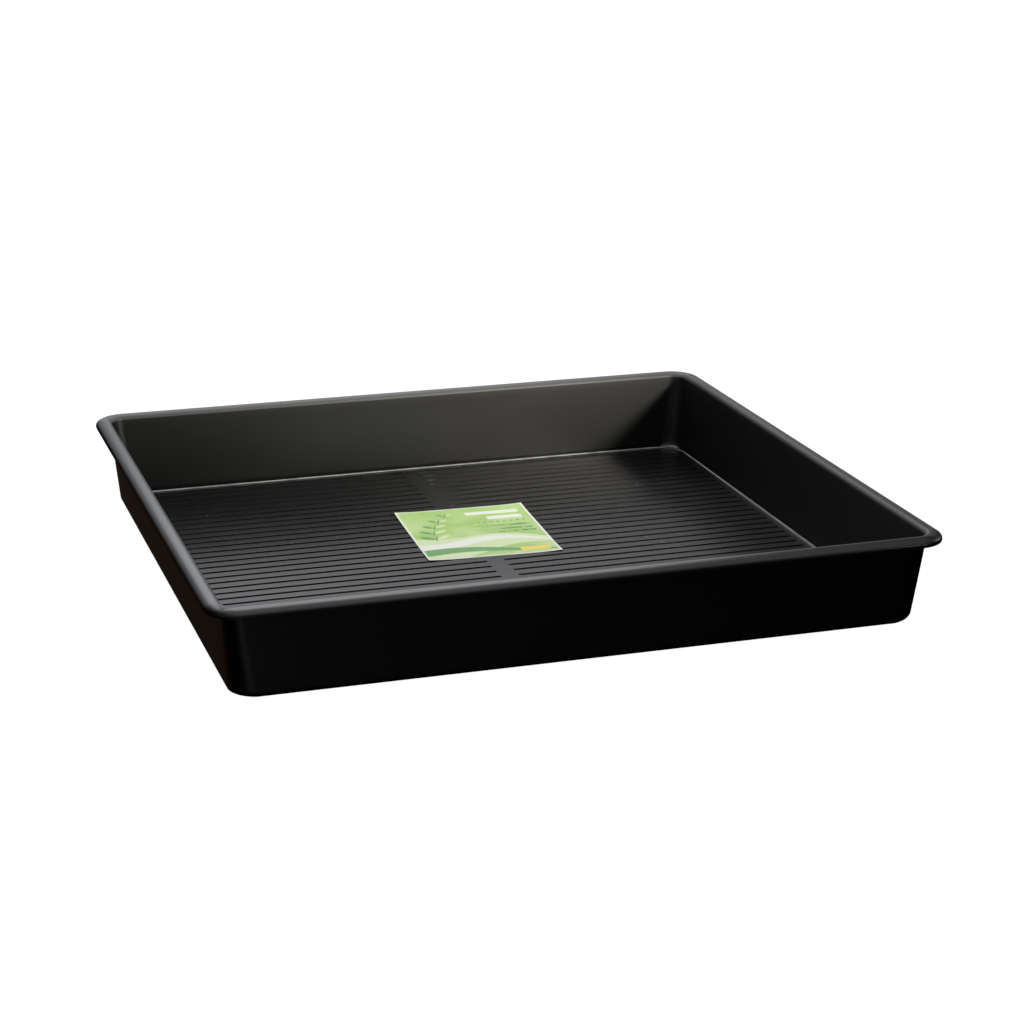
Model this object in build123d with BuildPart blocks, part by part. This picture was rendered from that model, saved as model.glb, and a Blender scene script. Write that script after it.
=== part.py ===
from build123d import *
import math
import os

# Potting soil tray: one black plastic sheet, vacuum-formed into a shallow open vessel with a rolled rim
# and a grooved floor, with a card label stuck flat on the floor.
# Millimetres. The origin is the middle of the footprint, on the ground.
# +X runs along the front, +Y from the front to the back, +Z up.

# Overall sizes, over the rim and down to what the tray stands on.
tray_length = 1000.0
tray_depth = 933.0
tray_height = 130.2
sheet = 2.8

# Rim: it rolls outward from the wall over a crown, slopes down to a rounded flank and ends in a short lip.
rim_corner_radius = 45.2
crown_inset = 15.5
flank_radius = 6.0
flank_drop = 8.6
lip_drop = 11.2

# Walls: insets are from the rim's outer edge to the outside of the wall.
wall_inset_at_crown = 20.4
wall_inset_at_base = 31.0
base_corner_radius = 32.0
base_bend_inside = 6.5
rim_joint_drop = 14.0

# Grooves: two banks of rows pressed through the sheet, which show as low ribs underneath.
groove_pitch = 22.4
groove_width = 5.0
groove_floor_width = 4.2
groove_depth = 1.8
groove_margin = 4.8
centre_strip = 26.0

# Label.
label_width = 201.0
label_length = 229.0
label_thickness = 0.4
label_offset_x = 12.8
label_offset_y = 99.2
label_turn = -2.8

overrun = 5.0

# Levels. The ribs under the floor stand on the ground, and the floor's underside clears it.
underside_level = groove_depth
floor_level = underside_level + sheet
joint_level = tray_height - rim_joint_drop
half_length = tray_length / 2
half_depth = tray_depth / 2

# The walls lean by the same angle on all sides. A level cut through one is a little wider than the sheet.
wall_height = tray_height - underside_level
lean = math.atan((wall_inset_at_base - wall_inset_at_crown) / wall_height)
wall_across = sheet / math.cos(lean)
wall_inset_at_joint = wall_inset_at_crown + rim_joint_drop * math.tan(lean)

# The crown's inner bend touches the level crown and the inside face of the wall.
wall_inside_at_crown = wall_inset_at_crown + wall_across
crown_radius = (wall_inside_at_crown - crown_inset) * math.cos(lean) / (1 - math.sin(lean))

# The slope between crown and flank is one arc, level at the crown and tangent to the flank's arc.
slope_run = crown_inset - flank_radius
slope_radius = (slope_run**2 + flank_drop**2 - flank_radius**2) / (2 * (flank_drop - flank_radius))
slope_turn = math.degrees(math.atan2(slope_run, slope_radius - flank_drop))

# The sheet keeps its thickness round the foot of the walls. The flat of the floor ends where the bend starts.
base_bend_outside = base_bend_inside + sheet
bend_reach = base_bend_inside * math.tan(math.radians(45) - lean / 2)
flat_inset = wall_inset_at_base + wall_across - sheet * math.tan(lean) + bend_reach
groove_end = half_length - flat_inset - groove_margin
groove_length = groove_end - centre_strip / 2
bank_spacing = centre_strip + groove_length
rows_room = half_depth - flat_inset - groove_margin - groove_width / 2
rows_each_side = round(rows_room / groove_pitch)

# The sheet keeps its thickness through a groove, so the rib below it stands out further on every side.
groove_wall_angle = math.atan2(groove_depth, (groove_width - groove_floor_width) / 2)
groove_taper = 90 - math.degrees(groove_wall_angle)
rib_reach = sheet * math.tan(groove_wall_angle / 2)


# A solid that tapers from the base to the rim's joint, with a bend round its foot. The outside of the sheet
# is one such solid, and the space inside it is another, smaller by the sheet all round.
def vessel_body(bottom_level, across, thickness, bend):
    bottom_inset = wall_inset_at_base - (bottom_level - underside_level) * math.tan(lean) + across
    joint_inset = wall_inset_at_joint + across
    with BuildPart() as body:
        with BuildSketch(Plane.XY.offset(bottom_level)):
            RectangleRounded(
                tray_length - 2 * bottom_inset, tray_depth - 2 * bottom_inset, base_corner_radius - thickness
            )
        with BuildSketch(Plane.XY.offset(joint_level)):
            RectangleRounded(
                tray_length - 2 * joint_inset, tray_depth - 2 * joint_inset, rim_corner_radius - joint_inset
            )
        loft(ruled=True)
        fillet(body.faces().sort_by(Axis.Z)[0].edges(), bend)
    return body.part


outside_body = vessel_body(underside_level, 0, 0, base_bend_outside)
inside_body = vessel_body(floor_level, wall_across, sheet, base_bend_inside)

# The rim's outer edge, once round, from the middle of the front.
with BuildLine() as rim_path:
    run = Line((0, -half_depth), (half_length - rim_corner_radius, -half_depth))
    side_runs = [tray_depth, tray_length, tray_depth]
    for side in side_runs:
        corner = JernArc(run @ 1, run % 1, rim_corner_radius, 90)
        run = Line(corner @ 1, corner @ 1 + (corner % 1) * (side - 2 * rim_corner_radius))
    corner = JernArc(run @ 1, run % 1, rim_corner_radius, 90)
    Line(corner @ 1, (0, -half_depth))

# Section of the rim, drawn inward from its outer edge: local x is the inset and local y the height.
section_plane = Plane(origin=(0, -half_depth, 0), x_dir=(0, 1, 0), z_dir=(1, 0, 0))
crown_point = (crown_inset, tray_height)
with BuildSketch(section_plane) as rim_section:
    with BuildLine():
        crown = JernArc(crown_point, (1, 0), crown_radius, math.degrees(lean) - 90)
        Line(crown @ 1, crown @ 1 + (crown % 1) * (rim_joint_drop + overrun))
        slope = JernArc(crown_point, (-1, 0), slope_radius, slope_turn)
        flank = JernArc(slope @ 1, slope % 1, flank_radius, 90 - slope_turn)
        Line(flank @ 1, flank @ 1 - Vector(0, lip_drop - flank_drop))
        offset(amount=-sheet, side=Side.RIGHT)
    make_face()
    # The section stops level at the walls' top edge, so what runs on below it is cut off.
    with Locations((wall_inset_at_joint, joint_level)):
        Rectangle(tray_height, tray_height, align=(Align.CENTER, Align.MAX), mode=Mode.SUBTRACT)


# One row as a tapering bar. It cuts the groove from the floor, and a wider one makes the rib underneath.
def pressed_row(top_level, reach):
    with BuildPart() as row:
        with BuildSketch(Plane.XY.offset(top_level)):
            Rectangle(groove_length + 2 * reach, groove_width + 2 * reach)
        extrude(amount=-groove_depth, taper=groove_taper)
    return row.part


groove = pressed_row(floor_level, 0)
rib = pressed_row(underside_level, rib_reach)

with BuildPart() as tray:
    add(outside_body)
    add(inside_body, mode=Mode.SUBTRACT)
    sweep(rim_section.sketch, path=rim_path.wire())
    with GridLocations(bank_spacing, groove_pitch, 2, 2 * rows_each_side):
        add(rib)
        add(groove, mode=Mode.SUBTRACT)

label_plane = Plane(origin=(label_offset_x, label_offset_y, floor_level)).rotated((0, 0, label_turn))
with BuildPart() as label:
    with BuildSketch(label_plane):
        Rectangle(label_width, label_length)
    extrude(amount=label_thickness)

tray.part.label = "tray"
label.part.label = "label"

os.makedirs("parts", exist_ok=True)
export_step(tray.part, "parts/tray.step")
export_step(label.part, "parts/label.step")
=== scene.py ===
import math

import bmesh
import bpy
from mathutils import Matrix, Vector, noise
from mathutils.geometry import delaunay_2d_cdt


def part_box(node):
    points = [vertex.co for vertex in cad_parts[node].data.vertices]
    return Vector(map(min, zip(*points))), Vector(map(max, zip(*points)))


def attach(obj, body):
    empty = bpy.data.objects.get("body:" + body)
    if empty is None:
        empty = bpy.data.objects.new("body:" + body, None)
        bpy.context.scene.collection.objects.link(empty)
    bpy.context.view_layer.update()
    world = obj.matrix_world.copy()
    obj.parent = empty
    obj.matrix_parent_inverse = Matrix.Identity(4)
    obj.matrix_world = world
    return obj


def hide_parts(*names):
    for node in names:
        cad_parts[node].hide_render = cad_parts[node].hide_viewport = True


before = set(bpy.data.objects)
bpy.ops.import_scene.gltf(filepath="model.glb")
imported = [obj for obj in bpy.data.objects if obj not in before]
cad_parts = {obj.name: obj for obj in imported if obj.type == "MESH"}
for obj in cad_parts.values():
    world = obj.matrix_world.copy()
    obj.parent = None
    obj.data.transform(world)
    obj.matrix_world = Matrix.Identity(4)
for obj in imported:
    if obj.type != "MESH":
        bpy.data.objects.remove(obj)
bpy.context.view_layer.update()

# Potting soil tray: one formed sheet with a grooved floor and a rolled rim, and a printed card on it.

# The model's values, in millimetres, as the source names them. The overall sizes come from the model's
# parts.
tray_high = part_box("tray")[1] * 1000
label_low, label_high = (corner * 1000 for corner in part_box("label"))
half_length, half_depth = tray_high.x, tray_high.y
tray_height = tray_high.z
sheet = 2.8
rim_corner_radius = 45.2
crown_inset = 15.5
flank_radius = 6.0
flank_drop = 8.6
lip_drop = 11.2
wall_inset_at_crown = 20.4
wall_inset_at_base = 31.0
base_corner_radius = 32.0
base_bend_inside = 6.5
rim_joint_drop = 14.0
groove_pitch = 22.4
groove_depth = 1.8
groove_margin = 4.8
centre_strip = 26.0
rows_each_side = 19
label_width = 201.0
label_length = 229.0
label_turn = -2.8

# The grooves are wider and steeper here than in the source, to show as dark as in the photograph.
groove_width = 6.5
groove_floor_width = 6.25

# Radii of the edge, the foot and the corners of a groove and of the rib under it, and how far the rib's
# ends are drawn in.
groove_radii = (0.05, 0.3, 1.6)
rib_radii = (0.4, 1.0, 2.6)
rib_end_trim = 1.2

underside_level = groove_depth
floor_level = underside_level + sheet
joint_level = tray_height - rim_joint_drop
lean = math.atan((wall_inset_at_base - wall_inset_at_crown) / (tray_height - underside_level))
wall_across = sheet / math.cos(lean)
crown_radius = (wall_inset_at_crown + wall_across - crown_inset) * math.cos(lean) / (1 - math.sin(lean))
slope_run = crown_inset - flank_radius
slope_radius = (slope_run**2 + flank_drop**2 - flank_radius**2) / (2 * (flank_drop - flank_radius))
slope_turn = math.atan2(slope_run, slope_radius - flank_drop)
bend_share = math.tan(math.radians(45) - lean / 2)
floor_inset = wall_inset_at_base + wall_across - sheet * math.tan(lean)
groove_length = half_length - floor_inset - base_bend_inside * bend_share - groove_margin - centre_strip / 2

# The foot's bend is tight along the sides and widens round the corners, where the sheet was drawn
# furthest. Outside, its radius along the sides is the source's.
side_bend_inside = 2.6
side_bend_outside = base_bend_inside + sheet
corner_bend_inside = 13.5
corner_bend_outside = 12.8

# How finely the sheet is divided: steps round a corner, along the long and the short sides, along a bend
# and up a wall, and the spacing of the points on the plain parts of the floor.
CORNER_STEPS = 22
SIDE_STEPS = (28, 26)
BEND_STEPS = 12
WALL_STEPS = 12
FLOOR_SPACING = 36.0
FLOOR_STEPS_EACH_SIDE = 12


# The sheet
def floor_wave(x, y):
    """How far the floor stands off its plane: a broad, shallow unevenness that dies out at the walls."""
    broad_height, fine_height = 0.9, 0.14
    u, v = x / half_length, y / half_depth
    off_walls = max(0.0, 1 - u * u) * max(0.0, 1 - v * v)
    broad = noise.noise(Vector((x / 310, y / 270, 3.7)))
    fine = noise.noise(Vector((x / 95, y / 120, 8.1)))
    return (broad_height * broad + fine_height * fine) * min(1.0, 2.2 * off_walls)


def wall_wave(x, y, z):
    """How far a wall bows outward: most half way up, and unevenly along it, as a thin sheet does."""
    usual, uneven = 0.65, 0.8
    height = (z - underside_level) / (tray_height - underside_level)
    room = max(0.0, math.sin(math.pi * min(1.0, max(0.0, height))))
    return room * abs(usual - uneven * noise.noise(Vector((x / 260, y / 260, z / 110))))


def corner_total(z):
    """Inset plus corner radius at a level. It shrinks evenly up the wall and eases into the rim's value."""
    t = (z - underside_level) / (joint_level - underside_level)
    ease = 0.22
    if t > 1 - ease:
        s = min(1.0, (t - 1 + ease) / (2 * ease))
        t = 1 - ease + 2 * ease * (s - s * s / 2)
    t = min(1.0, max(0.0, t))
    low = wall_inset_at_base + base_corner_radius
    return low + (rim_corner_radius - low) * t


def columns():
    """Stations round the outline: the side, the share of its straight run and of the corner's turn."""
    made = []
    for side in range(4):
        steps = SIDE_STEPS[side % 2]
        made += [(side, k / steps, 0.0) for k in range(steps)]
        made += [(side, 1.0, k / CORNER_STEPS) for k in range(CORNER_STEPS)]
    return made


def outline_point(column, inset, z):
    """A column's point on the tray's outline at a level, inset from the rim's edge."""
    side, run_share, turn_share = column
    total = corner_total(z)
    radius = total - inset
    ends, faces = (half_length, half_depth) if side % 2 == 0 else (half_depth, half_length)
    turned = math.radians(90 * turn_share)
    s = (ends - total) * (2 * run_share - 1) + radius * math.sin(turned)
    t = faces - total + radius * math.cos(turned)
    turn = math.radians(90 * side - 90)
    out_x, out_y = math.cos(turn), math.sin(turn)
    return out_x * t - out_y * s, out_y * t + out_x * s


def arc(centre, radius, start, end, steps, first=0):
    """Points (inset, height) on an arc, its angles measured from the direction that points inward."""
    angles = [start + (end - start) * k / steps for k in range(first, steps + 1)]
    return [(centre[0] + radius * math.cos(a), centre[1] + radius * math.sin(a)) for a in angles]


def straight(a, b, steps):
    """Points between a and b, without either end."""
    run, rise = b[0] - a[0], b[1] - a[1]
    return [(a[0] + run * k / steps, a[1] + rise * k / steps) for k in range(1, steps)]


def sheet_profile(bend_inside, bend_outside):
    """The sheet's section in two lists: up the inside and over the rim to its lip, and back outside."""
    quarter = math.pi / 2
    wall_turn = -math.pi + lean
    inner_centre = (floor_inset + bend_inside * bend_share, floor_level + bend_inside)
    outer_centre = (wall_inset_at_base + bend_outside * bend_share, underside_level + bend_outside)
    inner_bend = arc(inner_centre, bend_inside, -quarter, wall_turn, BEND_STEPS)
    crown_centre = (crown_inset, tray_height - crown_radius)
    slope_centre = (crown_inset, tray_height - slope_radius)
    flank_centre = (flank_radius, tray_height - flank_drop)
    crown = arc(crown_centre, crown_radius, lean, quarter, BEND_STEPS)
    slope = arc(slope_centre, slope_radius, quarter, quarter + slope_turn, 6, 1)
    flank = arc(flank_centre, flank_radius, quarter + slope_turn, math.pi, 8, 1)
    lip_edge = 1.1
    lip_centre_level = tray_height - lip_drop + lip_edge
    lip_outside = arc((lip_edge, lip_centre_level), lip_edge, math.pi, 1.5 * math.pi, 4)
    lip_inside = arc((sheet - lip_edge, lip_centre_level), lip_edge, 1.5 * math.pi, 2 * math.pi, 4)
    flank_under = arc(flank_centre, flank_radius - sheet, math.pi, quarter + slope_turn, 6)
    slope_under = arc(slope_centre, slope_radius - sheet, quarter + slope_turn, quarter, 5, 1)
    crown_under = arc(crown_centre, crown_radius - sheet, quarter, lean, 9, 1)
    outer_bend = arc(outer_centre, bend_outside, wall_turn, -quarter, BEND_STEPS)
    wall_inside = straight(inner_bend[-1], crown[0], WALL_STEPS)
    wall_outside = straight(crown_under[-1], outer_bend[0], WALL_STEPS)
    top = inner_bend + wall_inside + crown + slope + flank + lip_outside
    under = lip_inside + flank_under + slope_under + crown_under + wall_outside + outer_bend
    return top, under


def row_outline(half_x, half_y, radius, steps_x=12, steps_arc=4):
    """A rounded bar's outline round the origin, always with the same number of points."""
    radius = min(radius, half_y)
    points = []
    for quarter in range(4):
        turn = 90 * quarter - 90
        sx, sy = ((1, -1), (1, 1), (-1, 1), (-1, -1))[quarter]
        cx, cy = sx * (half_x - radius), sy * (half_y - radius)
        if quarter % 2 == 0:
            for k in range(1, steps_x):
                points.append((-cx + 2 * cx * k / steps_x, sy * half_y))
        for k in range(steps_arc + 1):
            a = math.radians(turn + 90 * k / steps_arc)
            points.append((cx + radius * math.cos(a), cy + radius * math.sin(a)))
    return points


def row_profile(half_width, level, depth, side_run, edge, foot):
    """Steps (half width, height) from the flat beside a pressed row down its flank to its bottom."""
    angle = math.atan2(depth, side_run)
    shift_edge = edge * math.tan(angle / 2)
    shift_foot = foot * math.tan(angle / 2)
    flat_beside = 0.7
    arc_steps = 3
    steps = [(half_width + shift_edge + flat_beside, level)]
    for k in range(arc_steps + 1):
        a = angle * k / arc_steps
        steps.append((half_width + shift_edge - edge * math.sin(a), level - edge * (1 - math.cos(a))))
    bottom = half_width - side_run
    for k in range(arc_steps, -1, -1):
        a = angle * k / arc_steps
        steps.append((bottom - shift_foot + foot * math.sin(a), level - depth + foot * (1 - math.cos(a))))
    return steps


def finished(bm, name):
    """The mesh of all that was built, with its faces turned outward and smooth shading."""
    bmesh.ops.recalc_face_normals(bm, faces=bm.faces)
    mesh = bpy.data.meshes.new(name)
    bm.to_mesh(mesh)
    bm.free()
    mesh.shade_smooth()
    return mesh


class Sheet:
    """The tray's mesh as it grows. Each face says which side of the sheet it is on, for the finish."""

    def __init__(self):
        self.bm = bmesh.new()
        self.under_side = self.bm.faces.layers.float.new("under_side")

    def vertex(self, x, y, z):
        return self.bm.verts.new((x / 1000, y / 1000, z / 1000))

    def face(self, corners, under):
        self.bm.faces.new(corners)[self.under_side] = float(under)

    def strip(self, lower, upper, under):
        """The faces between two closed rings of as many points."""
        n = len(lower)
        for k in range(n):
            self.face((lower[k], lower[(k + 1) % n], upper[(k + 1) % n], upper[k]), under)


def wall_point(column, inset, z):
    """A column's point on the outline at a level, moved outward by the wall's bow."""
    x, y = outline_point(column, inset, z)
    across, along = abs(x / half_length), abs(y / half_depth)
    # The bow fades out at the corners, where the two shares are alike.
    shift = wall_wave(x, y, z) * min(1.0, 6 * abs(across - along))
    if across > along:
        return x + math.copysign(shift, x), y
    return x, y + math.copysign(shift, y)


def add_walls(grown):
    """Walls and rim: one section round the outline. Gives the rings round the floor and its underside."""
    stations = []
    for column in columns():
        share = math.sin(math.pi * column[2]) ** 0.8
        inside = side_bend_inside + (corner_bend_inside - side_bend_inside) * share
        outside = side_bend_outside + (corner_bend_outside - side_bend_outside) * share
        top, under = sheet_profile(inside, outside)
        stations.append((column, top + under))
    top_levels, all_levels = len(top), len(top + under)
    rings = []
    for level in range(all_levels):
        ring = []
        for column, section in stations:
            inset, z = section[level]
            x, y = wall_point(column, inset, z)
            ring.append(grown.vertex(x, y, z))
        rings.append(ring)
    for level, (lower, upper) in enumerate(zip(rings, rings[1:])):
        grown.strip(lower, upper, level >= top_levels)
    return rings[0], rings[-1]


def row_places():
    """Where the rows lie and how much shorter each is: the outermost stop clear of the floor's corners."""
    bank_x = (centre_strip + groove_length) / 2
    corner_clearance = 10.0
    places = []
    for side in (-1, 1):
        for row in range(2 * rows_each_side):
            short = corner_clearance if row in (0, 2 * rows_each_side - 1) else 0.0
            places.append((side * (bank_x - short), (row - rows_each_side + 0.5) * groove_pitch, short))
    return places


def points_between_rows():
    """Points with which the plain parts of the floor follow its unevenness too."""
    points = []
    for row in range(1, 2 * rows_each_side):
        for k in range(-FLOOR_STEPS_EACH_SIDE, FLOOR_STEPS_EACH_SIDE + 1):
            points.append((k * FLOOR_SPACING, (row - rows_each_side) * groove_pitch))
    return points


def add_row(grown, under, place, steps, half_width, half_long, radius):
    """One pressed row, its flank and its bottom. Gives its outer ring, which lies in the flat."""
    centre_x, centre_y, short = place
    least_radius = 0.4
    rings = []
    for half_y, z in steps:
        out = half_y - half_width
        ring = []
        for x, y in row_outline(half_long - short + out, half_y, max(least_radius, radius + out)):
            gx, gy = centre_x + x, centre_y + y
            # Nothing reaches below the ground, so the ribs stand flat on it.
            ring.append(grown.vertex(gx, gy, max(0.0, z + floor_wave(gx, gy))))
        rings.append(ring)
    for outer, inner in zip(rings, rings[1:]):
        grown.strip(outer, inner, under)
    grown.face(rings[-1], under)
    return rings[0]


def closed_edges(first, count):
    """The edges of a closed ring of points, from the index of its first."""
    return [(first + k, first + (k + 1) % count) for k in range(count)]


def add_flat(grown, under, level, border, row_rings):
    """The flat on one side of the floor, as triangles between its border, its rows and points between."""
    plain = -1
    holders = list(border)
    owner = [plain] * len(border)
    edges = closed_edges(0, len(border))
    for row, ring in enumerate(row_rings):
        edges += closed_edges(len(holders), len(ring))
        holders += ring
        owner += [row] * len(ring)
    points = [(v.co.x * 1000, v.co.y * 1000) for v in holders]
    for x, y in points_between_rows():
        points.append((x, y))
        holders.append(grown.vertex(x, y, level + floor_wave(x, y)))
        owner.append(plain)
    filled = delaunay_2d_cdt([Vector(p) for p in points], edges, [], 1, 1e-4)
    out_points, triangles, origins = filled[0], filled[2], filled[3]
    if len(out_points) != len(points):
        raise RuntimeError("the floor's outline crosses itself")
    for corners in triangles:
        held = [origins[k][0] for k in corners]
        rows = {owner[k] for k in held}
        # A triangle between points of one row alone lies inside it, where the row has faces of its own.
        if len(rows) > 1 or plain in rows:
            grown.face([holders[k] for k in held], under)


def build_tray():
    """The sheet as one closed mesh: walls and rim, and on each side of the floor its rows and its flat."""
    grown = Sheet()
    floor_ring, underside_ring = add_walls(grown)
    side_run = (groove_width - groove_floor_width) / 2
    reach = sheet * math.tan(math.atan2(groove_depth, side_run) / 2)
    groove_half, groove_long = groove_width / 2, groove_length / 2
    rib_half, rib_long = groove_half + reach, groove_long + reach - rib_end_trim
    # The rows as they are on each side of the sheet, grooves and then ribs: their level, half width, half
    # length and radii, and the ring of points round the flat that they lie in.
    groove_side = (floor_level, groove_half, groove_long, groove_radii, floor_ring)
    rib_side = (underside_level, rib_half, rib_long, rib_radii, underside_ring)
    for under, (level, half_width, half_long, radii, border) in enumerate((groove_side, rib_side)):
        edge, foot, corner = radii
        steps = row_profile(half_width, level, groove_depth, side_run, edge, foot)
        rings = []
        for place in row_places():
            rings.append(add_row(grown, under, place, steps, half_width, half_long, corner))
        add_flat(grown, under, level, border, rings)
    return finished(grown.bm, "tray_sheet")


# The label
def build_label():
    """The printed card: a thin slab that follows the floor and lifts a little at its corners."""
    bm = bmesh.new()
    centre = (label_low + label_high) / 2
    turn = Matrix.Rotation(math.radians(label_turn), 2)
    steps_x, steps_y = 40, 46
    thick = label_high.z - label_low.z
    gap = 0.10
    levels = []
    for top in (0, 1):
        grid = []
        for j in range(steps_y + 1):
            line = []
            for i in range(steps_x + 1):
                u, v = i / steps_x * 2 - 1, j / steps_y * 2 - 1
                p = turn @ Vector((u * label_width / 2, v * label_length / 2))
                x, y = centre.x + p.x, centre.y + p.y
                # The card curls only near its corners, by 1.4 mm at their tips.
                curl = 0.9 * max(0.0, abs(u) - 0.55) ** 2 * max(0.0, abs(v) - 0.5) ** 2 * 30
                lift = curl + (gap + gap * noise.noise(Vector((u * 1.7, v * 1.9, 5.2))))
                z = floor_level + floor_wave(x, y) + lift + top * thick
                line.append(bm.verts.new((x / 1000, y / 1000, z / 1000)))
            grid.append(line)
        levels.append(grid)
    for top, grid in enumerate(levels):
        for j in range(steps_y):
            for i in range(steps_x):
                quad = [grid[j][i], grid[j][i + 1], grid[j + 1][i + 1], grid[j + 1][i]]
                bm.faces.new(quad if top else quad[::-1])
    low, high = levels

    def border(grid):
        """The grid's outer points, once round."""
        return grid[0][:-1] + [r[-1] for r in grid[:-1]] + grid[-1][:0:-1] + [r[0] for r in grid[:0:-1]]

    edge_low, edge_high = border(low), border(high)
    n = len(edge_low)
    for k in range(n):
        bm.faces.new((edge_low[k], edge_low[(k + 1) % n], edge_high[(k + 1) % n], edge_high[k]))
    mesh = finished(bm, "label_card")
    mesh.set_sharp_from_angle(angle=math.radians(40))
    return mesh


# Materials
class Nodes:
    """A small helper that adds nodes to a tree and links them in one line each."""

    def __init__(self, tree):
        self.tree = tree
        tree.nodes.clear()

    def add(self, kind, inputs=None, **settings):
        node = self.tree.nodes.new(kind)
        for name, value in settings.items():
            setattr(node, name, value)
        for key, value in (inputs or {}).items():
            socket = node.inputs[key]
            if isinstance(value, bpy.types.NodeSocket):
                self.tree.links.new(value, socket)
            else:
                socket.default_value = value
        return node

    def math(self, operation, a, b=0.0, c=0.0):
        return self.add("ShaderNodeMath", {0: a, 1: b, 2: c}, operation=operation).outputs[0]

    def vector(self, operation, a, b=(0, 0, 0)):
        node = self.add("ShaderNodeVectorMath", {0: a, 1: b}, operation=operation)
        return node.outputs["Value" if operation in ("DOT_PRODUCT", "LENGTH") else "Vector"]

    def step(self, value, low, high, to_low=0.0, to_high=1.0):
        """A smooth step: to_low where the value is at low, and to_high where it is at high."""
        node = self.add(
            "ShaderNodeMapRange",
            {"Value": value, "From Min": low, "From Max": high, "To Min": to_low, "To Max": to_high},
            interpolation_type="SMOOTHSTEP",
        )
        return node.outputs["Result"]

    def mix(self, factor, a, b):
        """Colour a where the factor is 0 and colour b where it is 1."""
        return self.add("ShaderNodeMix", {0: factor, 6: a, 7: b}, data_type="RGBA").outputs[2]

    def noise(self, vector, scale, detail, roughness):
        inputs = {"Vector": vector, "Scale": scale, "Detail": detail, "Roughness": roughness}
        return self.add("ShaderNodeTexNoise", inputs).outputs[0]


def material(name):
    """A new material and the helper that fills its node tree."""
    made = bpy.data.materials.new(name)
    made.use_nodes = True
    return made, Nodes(made.node_tree)


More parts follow.
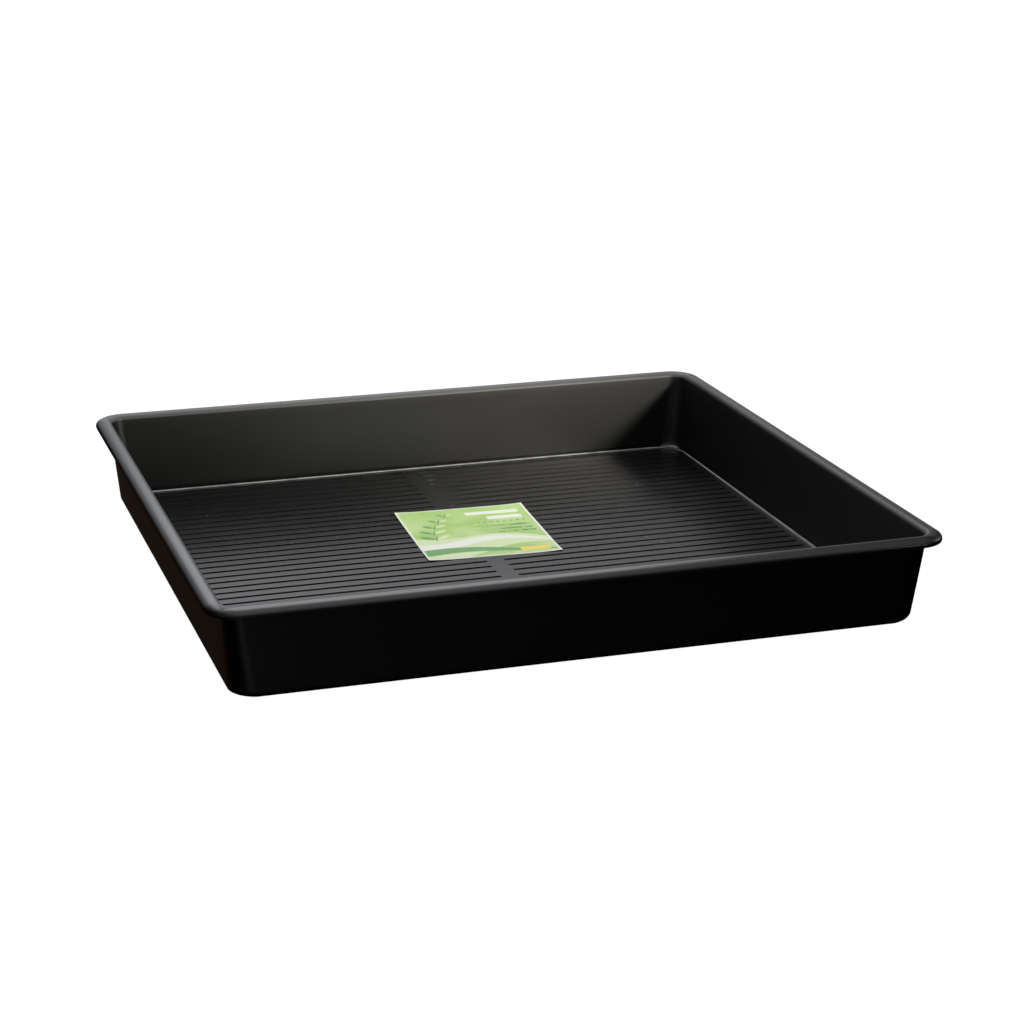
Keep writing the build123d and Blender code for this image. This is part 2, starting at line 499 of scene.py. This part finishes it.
def plastic_material():
    """Black formed plastic, satin inside and glossier outside. Heights and insets here are in metres."""
    made, n = material("tray_plastic")
    place = n.add("ShaderNodeTexCoord").outputs["Object"]
    split = n.add("ShaderNodeSeparateXYZ", {0: place}).outputs
    height = split[2]
    inset_x = n.math("SUBTRACT", half_length / 1000, n.math("ABSOLUTE", split[0]))
    inset_y = n.math("SUBTRACT", half_depth / 1000, n.math("ABSOLUTE", split[1]))
    inset = n.math("MINIMUM", inset_x, inset_y)
    under = n.add("ShaderNodeAttribute", attribute_name="under_side").outputs["Fac"]
    rim = n.step(height, 0.112, 0.126)
    floor = n.step(height, 0.016, 0.009)
    floor_rough, under_rough = 0.23, 0.13
    black, soft_black = (0.0018, 0.0018, 0.0020, 1), (0.0032, 0.0031, 0.0032, 1)
    # The second colour here is a painted highlight, a pale grey for the rim's inner bend.
    scuffed, painted_highlight_grey = (0.022, 0.021, 0.020, 1), (0.070, 0.069, 0.071, 1)
    # A painted highlight: the white of a thin line along the foot of the walls.
    painted_highlight_white = (0.46, 0.46, 0.45, 1)
    # The gloss varies in broad soft clouds and finer mottling, with a grain and here and there a scuff.
    cloud = n.noise(place, 6.0, 3.0, 0.55)
    mottle = n.noise(place, 40.0, 3.0, 0.6)
    peel = n.noise(place, 150.0, 2.0, 0.5)
    grain = n.noise(place, 1400.0, 2.0, 0.5)
    scuff = n.step(n.noise(place, 75.0, 5.0, 0.7), 0.62, 0.74)
    wall = n.step(height, 0.004, 0.112, 0.36, 0.44)
    satin = n.math("ADD", wall, n.math("MULTIPLY", floor, n.math("SUBTRACT", floor_rough, wall)))
    # The rim is smooth on its crown and slope, and duller on the bend that turns down into the wall.
    dull = n.step(inset, 0.0150, 0.0185, 0.30, 0.50)
    satin = n.math("ADD", satin, n.math("MULTIPLY", rim, n.math("SUBTRACT", dull, satin)))
    rough = n.math("ADD", satin, n.math("MULTIPLY", under, n.math("SUBTRACT", under_rough, satin)))
    rough = n.math("MULTIPLY_ADD", n.math("SUBTRACT", cloud, 0.5), 0.07, rough)
    rough = n.math("MULTIPLY_ADD", n.math("SUBTRACT", mottle, 0.5), 0.03, rough)
    rough = n.math("MULTIPLY_ADD", scuff, 0.05, rough)
    colour = n.mix(cloud, black, soft_black)
    colour = n.mix(n.math("MULTIPLY", scuff, 0.08), colour, scuffed)
    # A pale, dull grey is painted on the rim's inner bend as a painted highlight, most of all along the
    # back, where the lamp's broad highlight falls.
    painted_rim_highlight = n.math("MULTIPLY", n.step(height, 0.1224, 0.1238), n.step(inset, 0.0135, 0.0175))
    painted_rim_highlight = n.math("MULTIPLY", painted_rim_highlight, n.math("SUBTRACT", 1.0, under))
    painted_rim_highlight = n.math("MULTIPLY", painted_rim_highlight, n.step(split[1], 0.36, 0.45, 0.25, 1.0))
    colour = n.mix(painted_rim_highlight, colour, painted_highlight_grey)
    # A thin white line is painted along the tight bend at the foot of the walls as a painted highlight.
    # Round the corners the bend is wide, so the line keeps its width by ending lower on it.
    corner = n.step(n.math("MAXIMUM", inset_x, inset_y), 0.085, 0.045)
    foot_highlight_top = n.math("MULTIPLY_ADD", corner, 0.0014, height)
    painted_foot_highlight = n.math("MULTIPLY", n.step(height, 0.0052, 0.0056), n.step(foot_highlight_top, 0.0072, 0.0067))
    painted_foot_highlight = n.math("MULTIPLY", painted_foot_highlight, n.math("SUBTRACT", 1.0, under))
    painted_foot_highlight = n.math("MULTIPLY", painted_foot_highlight, n.step(mottle, 0.30, 0.60, 0.55, 0.9))
    painted_foot_highlight = n.math("MULTIPLY", painted_foot_highlight, n.math("MULTIPLY_ADD", corner, -0.6, 1.0))
    colour = n.mix(painted_foot_highlight, colour, painted_highlight_white)
    fine = n.add("ShaderNodeBump", {"Strength": 0.08, "Distance": 0.00003, "Height": grain})
    bump = n.add(
        "ShaderNodeBump",
        {"Strength": 0.25, "Distance": 0.00005, "Height": peel, "Normal": fine.outputs[0]},
    )
    surface = n.add(
        "ShaderNodeBsdfPrincipled",
        {"Base Color": colour, "Roughness": rough, "IOR": 1.5, "Normal": bump.outputs[0]},
    )
    n.add("ShaderNodeOutputMaterial", {"Surface": surface.outputs[0]})
    return made


def card_material():
    """A generic garden print on lime green: a sprig of leaves, ribbons, plain bars and a warm patch."""
    made, n = material("label_card")
    place = n.add("ShaderNodeTexCoord").outputs["Object"]
    width, length = label_width / 1000, label_length / 1000
    centre = (label_low + label_high) / 2000
    # Local card coordinates: u and v run from -1 to 1 across the printed face.
    turn = math.radians(label_turn)
    shifted = n.vector("SUBTRACT", place, (centre.x, centre.y, 0))
    across_card = (math.cos(turn), math.sin(turn), 0)
    u = n.math("MULTIPLY", n.vector("DOT_PRODUCT", shifted, across_card), 2 / width)
    up_card = (-math.sin(turn), math.cos(turn), 0)
    v = n.math("MULTIPLY", n.vector("DOT_PRODUCT", shifted, up_card), 2 / length)
    ratio = length / width
    soft = 0.015
    white, cream = (0.80, 0.84, 0.72, 1), (0.64, 0.76, 0.42, 1)
    pale, lime = (0.50, 0.68, 0.26, 1), (0.33, 0.55, 0.10, 1)
    deep, teal = (0.10, 0.33, 0.07, 1), (0.02, 0.16, 0.13, 1)
    warm = (0.80, 0.66, 0.08, 1)

    def ellipse(x, y, long, short, angle):
        """An ellipse whose long axis is turned from the card's width by an angle in degrees."""
        a = math.radians(angle)
        right = n.math("SUBTRACT", u, x)
        up = n.math("MULTIPLY", n.math("SUBTRACT", v, y), ratio)
        p = n.math("MULTIPLY_ADD", up, math.sin(a), n.math("MULTIPLY", right, math.cos(a)))
        q = n.math("MULTIPLY_ADD", up, math.cos(a), n.math("MULTIPLY", right, -math.sin(a)))
        flat = n.add("ShaderNodeCombineXYZ", {0: n.math("DIVIDE", p, long), 1: n.math("DIVIDE", q, short)})
        edge = soft / short
        return n.step(n.vector("LENGTH", flat.outputs[0]), 1.0 - edge, 1.0, 1.0, 0.0)

    def bar(x0, x1, y0, y1):
        """An upright rectangle between two values of u and two of v."""
        across = n.math("ABSOLUTE", n.math("SUBTRACT", u, (x0 + x1) / 2))
        along = n.math("ABSOLUTE", n.math("SUBTRACT", v, (y0 + y1) / 2))
        a = n.step(across, (x1 - x0) / 2 - soft, (x1 - x0) / 2, 1.0, 0.0)
        b = n.step(along, (y1 - y0) / 2 - soft, (y1 - y0) / 2, 1.0, 0.0)
        return n.math("MULTIPLY", a, b)

    def ribbon(level, height, waves, shift, thick):
        """A wavy band across the card, which tapers away to the right."""
        crest = n.math("SINE", n.math("MULTIPLY_ADD", u, waves, shift))
        off = n.math("ABSOLUTE", n.math("SUBTRACT", v, n.math("MULTIPLY_ADD", crest, height, level)))
        half = n.math("MULTIPLY_ADD", u, -thick / 3, thick / 2)
        return n.step(n.math("SUBTRACT", half, off), 0.0, soft)

    fibre = n.noise(place, 900.0, 3.0, 0.6)
    wash = n.noise(place, 16.0, 2.0, 0.5)
    colour = n.mix(n.step(wash, 0.35, 0.65), lime, pale)
    colour = n.mix(n.math("MULTIPLY", n.step(v, 0.1, 1.0), 0.5), colour, lime)
    # Ribbons across the foot of the card: a cream one, a white one and a deep green one.
    colour = n.mix(ribbon(-0.52, 0.14, 2.6, 0.4, 0.62), colour, cream)
    colour = n.mix(ribbon(-0.42, 0.13, 2.9, 0.9, 0.20), colour, white)
    colour = n.mix(ribbon(-0.78, 0.10, 2.2, 2.6, 0.16), colour, deep)
    # A sprig up the left side: a stem of small steps with leaves in pairs, smaller towards the top.
    pairs = 5
    for k in range(pairs):
        x, y = -0.66 + 0.045 * k * k / 2, -0.18 + 0.22 * k
        size = 0.20 - 0.022 * k
        for side, tone in ((-1, deep), (1, cream)):
            lean_out = 90 - side * 52 - 6 * k
            leaf = ellipse(x + side * size * 0.62, y + 0.05, size * 0.72, size * 0.30, lean_out)
            colour = n.mix(leaf, colour, tone)
        colour = n.mix(ellipse(x, y, 0.16, 0.018, 82 - 4 * k), colour, teal)
    # Plain bars at the top right: two white ones, short dark dashes, and streaks that fade to the left.
    colour = n.mix(bar(0.02, 0.86, 0.66, 0.80), colour, white)
    colour = n.mix(bar(0.30, 0.86, 0.44, 0.58), colour, white)
    dashes = n.step(n.math("SINE", n.math("MULTIPLY", u, 62.0)), -0.2, 0.3)
    colour = n.mix(n.math("MULTIPLY", bar(0.02, 0.86, 0.31, 0.36), dashes), colour, deep)
    fade = n.math("MULTIPLY", n.step(u, -0.15, 0.75), n.step(n.noise(place, 120.0, 3.0, 0.7), 0.36, 0.55))
    for top in (0.20, 0.06, -0.06):
        colour = n.mix(n.math("MULTIPLY", bar(-0.2, 0.90, top - 0.06, top), fade), colour, teal)
    # The warm patch at the foot on the right, the white border and the card's fibre.
    colour = n.mix(bar(0.42, 0.88, -0.90, -0.74), colour, warm)
    colour = n.mix(bar(-0.975, 0.975, -0.98, 0.98), white, colour)
    colour = n.mix(n.math("MULTIPLY", fibre, 0.10), colour, (0.9, 0.9, 0.86, 1))
    rough = n.math("MULTIPLY_ADD", fibre, 0.12, 0.30)
    bump = n.add("ShaderNodeBump", {"Strength": 0.2, "Distance": 0.00003, "Height": fibre})
    surface = n.add(
        "ShaderNodeBsdfPrincipled",
        {"Base Color": colour, "Roughness": rough, "IOR": 1.45, "Normal": bump.outputs[0]},
    )
    n.add("ShaderNodeOutputMaterial", {"Surface": surface.outputs[0]})
    return made


def piece(name, mesh, finish, node):
    """Puts a piece into the scene with its finish, in place of the model's node."""
    made = bpy.data.objects.new(name, mesh)
    bpy.context.scene.collection.objects.link(made)
    mesh.materials.append(finish)
    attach(made, "root")
    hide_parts(node)


piece("tray_sheet", build_tray(), plastic_material(), "tray")
piece("label_card", build_label(), card_material(), "label")


# The ground, the lights and the camera
def build_ground():
    """The white surface that the tray stands on. The tray neither reflects it nor is lit by it."""
    mesh = bpy.data.meshes.new("ground")
    size = 40.0
    corners = [(-size, -size, 0), (size, -size, 0), (size, size, 0), (-size, size, 0)]
    mesh.from_pydata(corners, [], [(0, 1, 2, 3)])
    ground = bpy.data.objects.new("ground", mesh)
    bpy.context.scene.collection.objects.link(ground)
    made, n = material("ground")
    surface = n.add(
        "ShaderNodeBsdfPrincipled",
        {
            "Base Color": (0.10, 0.10, 0.10, 1),
            "Roughness": 0.9,
            "Specular IOR Level": 0.0,
            "Emission Color": (1, 1, 1, 1),
            "Emission Strength": 1.0,
        },
    )
    n.add("ShaderNodeOutputMaterial", {"Surface": surface.outputs[0]})
    mesh.materials.append(made)
    # Just under what the ribs stand on, so that no two faces share a plane.
    gap = 0.0002
    ground.location.z = -gap
    ground.visible_glossy = False
    ground.visible_diffuse = False


build_ground()


def direction(azimuth, elevation):
    """Unit vector from an azimuth, which turns from +Y towards +X, and an elevation, in degrees."""
    a, e = math.radians(azimuth), math.radians(elevation)
    return (math.sin(a) * math.cos(e), math.cos(a) * math.cos(e), math.sin(e))


# The studio's soft lights above the horizon: azimuth, elevation and spread in degrees, and colour.
STUDIO_LIGHTS = (
    (6, 10, 10, (1.10, 1.13, 1.17)),
    (-8, 32, 14, (0.14, 0.14, 0.15)),
    (10, 60, 15, (0.8, 0.8, 0.83)),
    (150, 78, 20, (1.03, 1.03, 1.06)),
    (74, 23, 8, (2.5, 2.5, 2.5)),
    (-115, 8, 7, (0.55, 0.55, 0.62)),
    (-162, 50, 25, (0.45, 0.45, 0.45)),
)
# What shines back from below the horizon, and a sill of light just above it: azimuth and elevation in
# degrees, tightness and colour.
LOW_LIGHTS = (
    (-30, -15, 4.0, (0.019, 0.010, 0.004)),
    (192, -24, 14.0, (0.17, 0.17, 0.18)),
)
SILL_LIGHT = (23, 1, 28.0, (0.55, 0.55, 0.58))
ROOM_GLOW = (0.002, 0.002, 0.002)


def build_world():
    """A dim room with soft studio lights for the tray to reflect. The camera itself sees white."""
    world = bpy.data.worlds.new("studio")
    bpy.context.scene.world = world
    world.use_nodes = True
    n = Nodes(world.node_tree)
    place = n.add("ShaderNodeTexCoord").outputs["Generated"]
    height = n.add("ShaderNodeSeparateXYZ", {0: place}).outputs[2]
    above = n.step(height, -0.04, 0.04)
    below = n.math("SUBTRACT", 1.0, above)

    def lobe(azimuth, elevation, tightness, tone):
        """A soft round light: its tone at its middle, fading outward, and faster the tighter it is."""
        facing = n.vector("DOT_PRODUCT", place, direction(azimuth, elevation))
        share = n.math("EXPONENT", n.math("MULTIPLY_ADD", facing, tightness, -tightness))
        return n.vector("MULTIPLY", share, tone)

    warm, front = (lobe(*light) for light in LOW_LIGHTS)
    glow = n.vector("ADD", n.vector("ADD", warm, front), ROOM_GLOW)
    colour = n.vector("MULTIPLY", below, glow)
    for azimuth, elevation, spread, tone in STUDIO_LIGHTS:
        light = lobe(azimuth, elevation, math.radians(spread) ** -2, tone)
        colour = n.vector("ADD", n.vector("MULTIPLY", light, above), colour)
    colour = n.vector("ADD", lobe(*SILL_LIGHT), colour)
    lit = n.add("ShaderNodeBackground", {"Color": colour, "Strength": 1.0})
    seen = n.add("ShaderNodeBackground", {"Color": (1, 1, 1, 1), "Strength": 1.0})
    camera_ray = n.add("ShaderNodeLightPath").outputs["Is Camera Ray"]
    mixed = n.add("ShaderNodeMixShader", {0: camera_ray, 1: lit.outputs[0], 2: seen.outputs[0]})
    n.add("ShaderNodeOutputWorld", {"Surface": mixed.outputs[0]})


def hang(data, place, target, roll=0):
    """Places a light, in metres, aims it at its target and rolls it by an angle in degrees."""
    light = bpy.data.objects.new(data.name, data)
    bpy.context.scene.collection.objects.link(light)
    light.location = place
    light.rotation_euler = (Vector(target) - light.location).to_track_quat("-Z", "Y").to_euler()
    light.rotation_euler.rotate_axis("Z", math.radians(roll))
    light.visible_camera = False


def broad_light(name, size, energy, tone):
    """A rectangular light, its size in metres."""
    data = bpy.data.lights.new(name, "AREA")
    data.shape = "RECTANGLE"
    data.size, data.size_y = size
    data.energy = energy
    data.color = tone
    return data


def build_lights():
    """A narrow lamp in front at the right for the back wall, and two broad lights over the tray's back."""
    lamp = bpy.data.lights.new("lamp", "SPOT")
    lamp.shadow_soft_size = 0.2
    lamp.spot_size = math.radians(31)
    lamp.spot_blend = 0.45
    lamp.energy = 212.0
    lamp.color = (1.0, 0.96, 0.86)
    hang(lamp, (1.13, -1.36, 0.77), (0.11, 0.45, 0.43))
    panel = broad_light("panel", (1.6, 0.75), 5.6, (0.96, 0.97, 1.0))
    hang(panel, (0.14, 1.15, 0.99), (0.12, -0.1, 0.4), -3)
    shelf = broad_light("shelf", (1.5, 0.45), 8.5, (0.98, 0.98, 1.0))
    hang(shelf, (-0.05, 0.68, 1.30), (-0.05, 0.45, 0.1))


build_world()
build_lights()

# The photograph's viewpoint, solved from the tray's outline, rim, floor edges and label: the camera's
# place in metres, its yaw, pitch and roll in degrees, and its focal length in pixels of the picture.
CAMERA_PLACE = (-0.991077, -3.104227, 1.128534)
CAMERA_ANGLES = (18.2992, 18.0306, -0.4297)
FOCAL_PIXELS = 2366.3775
PICTURE_PIXELS = 1024
SENSOR_WIDTH = 36.0


def build_camera():
    """The camera that the photograph was taken from. Its roll turns the picture round its middle."""
    data = bpy.data.cameras.new("camera")
    camera = bpy.data.objects.new("camera", data)
    bpy.context.scene.collection.objects.link(camera)
    yaw, pitch, roll = (math.radians(angle) for angle in CAMERA_ANGLES)
    look = Vector((math.sin(yaw) * math.cos(pitch), math.cos(yaw) * math.cos(pitch), -math.sin(pitch)))
    right = Vector((math.cos(yaw), -math.sin(yaw), 0))
    down = look.cross(right)
    tilted_right = right * math.cos(roll) + down * math.sin(roll)
    tilted_down = down * math.cos(roll) - right * math.sin(roll)
    turn = Matrix((tilted_right, -tilted_down, -look)).transposed()
    camera.matrix_world = Matrix.Translation(Vector(CAMERA_PLACE)) @ turn.to_4x4()
    data.sensor_width = SENSOR_WIDTH
    data.lens = FOCAL_PIXELS * SENSOR_WIDTH / PICTURE_PIXELS
    data.clip_end = 200.0
    bpy.context.scene.camera = camera


build_camera()
bpy.context.scene.view_settings.view_transform = "Standard"
